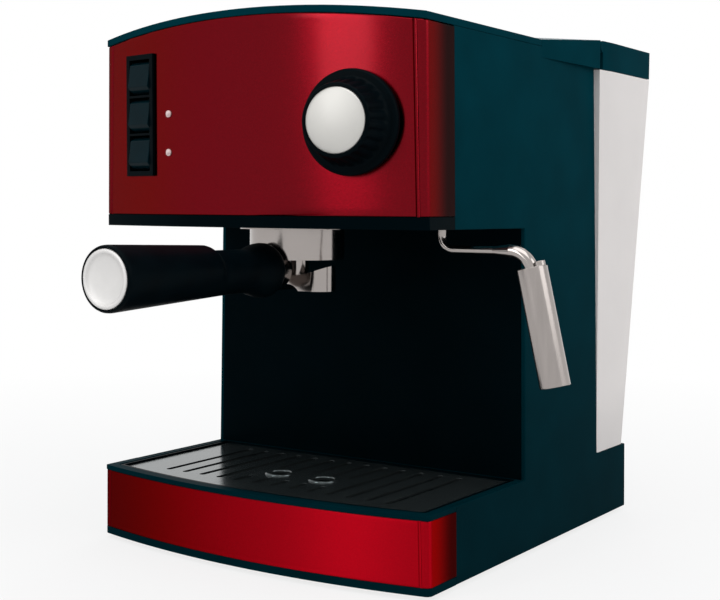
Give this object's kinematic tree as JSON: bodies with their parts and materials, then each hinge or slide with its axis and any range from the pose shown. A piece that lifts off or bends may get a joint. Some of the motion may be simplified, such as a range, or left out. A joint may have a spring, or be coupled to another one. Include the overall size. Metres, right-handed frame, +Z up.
{
  "type": "espresso machine",
  "caption": "Pump espresso machine with a red curved front, filter holder, steam wand and rear water tank",
  "frame": {"origin": "middle of the plane that the feet stand on, halfway along the base and on the body's middle plane", "axes": "+X to the right side seen from the front, +Y to the back with the water tank, +Z up"},
  "size_m": [0.2638, 0.3619, 0.2818],
  "materials": {
    "red_paint": "metallic gloss",
    "black_gloss": "gloss",
    "black_matt": "matt",
    "rubber_black": "matt",
    "hose": "satin",
    "chrome": "polished",
    "sleeve_steel": "satin",
    "steel": "brushed",
    "aluminium": "satin",
    "brass": "machined",
    "tan_plastic": "matt",
    "lamp": "clear gloss",
    "tank": "translucent"
  },
  "bodies": {
    "machine": {"base_frame": "black_gloss", "screw_bosses": "black_gloss", "tray_surround": "black_gloss", "base_front_panel": "red_paint", "bottom_plate": "black_matt", "rubber_feet": "rubber_black", "bottom_screws": "steel", "left_side_panel": "black_gloss", "right_side_panel": "black_gloss", "column_front_panel": "black_gloss", "rear_wall": "black_matt", "cord_gland": "black_matt", "head_underside": "black_gloss", "head_front_panel": "red_paint", "top_cover": "black_gloss", "rear_deck": "black_gloss", "switch_bezel": "black_gloss", "switch_bodies": "black_matt", "indicator_lamps": "lamp", "steam_valve": "brass", "steam_feed_pipe": "steel", "steam_outlet_pipe": "steel", "wand_nut": "brass", "group_head": "aluminium", "group_gasket": "rubber_black", "shower_screen": "steel", "shower_screw": "steel", "boiler": "aluminium", "boiler_bolts": "steel", "heating_element": "steel", "thermostats": "tan_plastic", "pump_coil": "brass", "pump_barrel": "tan_plastic", "pump_grommets": "rubber_black", "pump_bracket": "steel", "suction_hose": "hose", "pressure_hose": "hose", "tank_socket": "rubber_black"},
    "knob": {"steam_knob": "black_matt", "knob_cap": "aluminium", "valve_spindle": "steel"},
    "rocker_upper": {"upper_rocker": "black_gloss"},
    "rocker_middle": {"middle_rocker": "black_gloss"},
    "rocker_lower": {"lower_rocker": "black_gloss"},
    "wand": {"steam_wand": "chrome"},
    "sleeve": {"frothing_sleeve": "sleeve_steel"},
    "portafilter": {"portafilter_bowl": "chrome", "filter_basket": "steel", "coffee_spout": "chrome", "spout_screw": "steel", "portafilter_handle": "black_matt", "handle_bolt": "steel", "handle_end_cap": "aluminium"},
    "tray": {"drip_tray": "black_gloss"},
    "grid": {"drip_grid": "chrome"},
    "tank": {"water_tank": "tank", "outlet_valve_spring": "steel", "lid_hinge_pin": "steel"},
    "outlet_valve": {"tank_outlet_valve": "rubber_black"},
    "lid": {"tank_lid": "black_gloss"}
  },
  "joints": [
    {"name": "knob_turn", "type": "hinge", "parent": "machine", "child": "knob", "pos_m": [0.0655, -0.12357, 0.2243], "axis": [0.1466, -0.9892, 0], "range_deg": [0, 270]},
    {"name": "rocker_upper_tilt", "type": "hinge", "parent": "machine", "child": "rocker_upper", "pos_m": [-0.06951, -0.1179, 0.2521], "axis": [0.9875, -0.1574, 0], "range_deg": [0, 14]},
    {"name": "rocker_middle_tilt", "type": "hinge", "parent": "machine", "child": "rocker_middle", "pos_m": [-0.06951, -0.1179, 0.2323], "axis": [0.9875, -0.1574, 0], "range_deg": [0, 14]},
    {"name": "rocker_lower_tilt", "type": "hinge", "parent": "machine", "child": "rocker_lower", "pos_m": [-0.06951, -0.1179, 0.2125], "axis": [0.9875, -0.1574, 0], "range_deg": [0, 14]},
    {"name": "wand_swing", "type": "hinge", "parent": "machine", "child": "wand", "pos_m": [0.0885, -0.0794, 0.1743], "axis": [0, 0, 1], "range_deg": [-90, 30]},
    {"name": "sleeve_pull", "type": "slide", "parent": "wand", "child": "sleeve", "axis": [0.23, 0, -0.9732], "range_m": [0, 0.03]},
    {"name": "portafilter_turn", "type": "hinge", "parent": "machine", "child": "portafilter", "pos_m": [0, -0.0794, 0.1743], "axis": [0, 0, 1], "range_deg": [-50, 0]},
    {"name": "tray_lift", "type": "slide", "parent": "machine", "child": "tray", "axis": [0, 0, 1], "range_m": [0, 0.045]},
    {"name": "grid_lift", "type": "slide", "parent": "tray", "child": "grid", "axis": [0, 0, 1], "range_m": [0, 0.03]},
    {"name": "tank_lift", "type": "slide", "parent": "machine", "child": "tank", "axis": [0, 0, 1], "range_m": [0, 0.12]},
    {"name": "outlet_valve_lift", "type": "slide", "parent": "tank", "child": "outlet_valve", "axis": [0, 0, 1], "range_m": [0, 0.003], "stiffness_N_per_m": 150, "deforming": ["outlet_valve_spring"]},
    {"name": "lid_open", "type": "hinge", "parent": "tank", "child": "lid", "pos_m": [0, 0.0726, 0.2777], "axis": [1, 0, 0], "range_deg": [0, 75]}
  ]
}
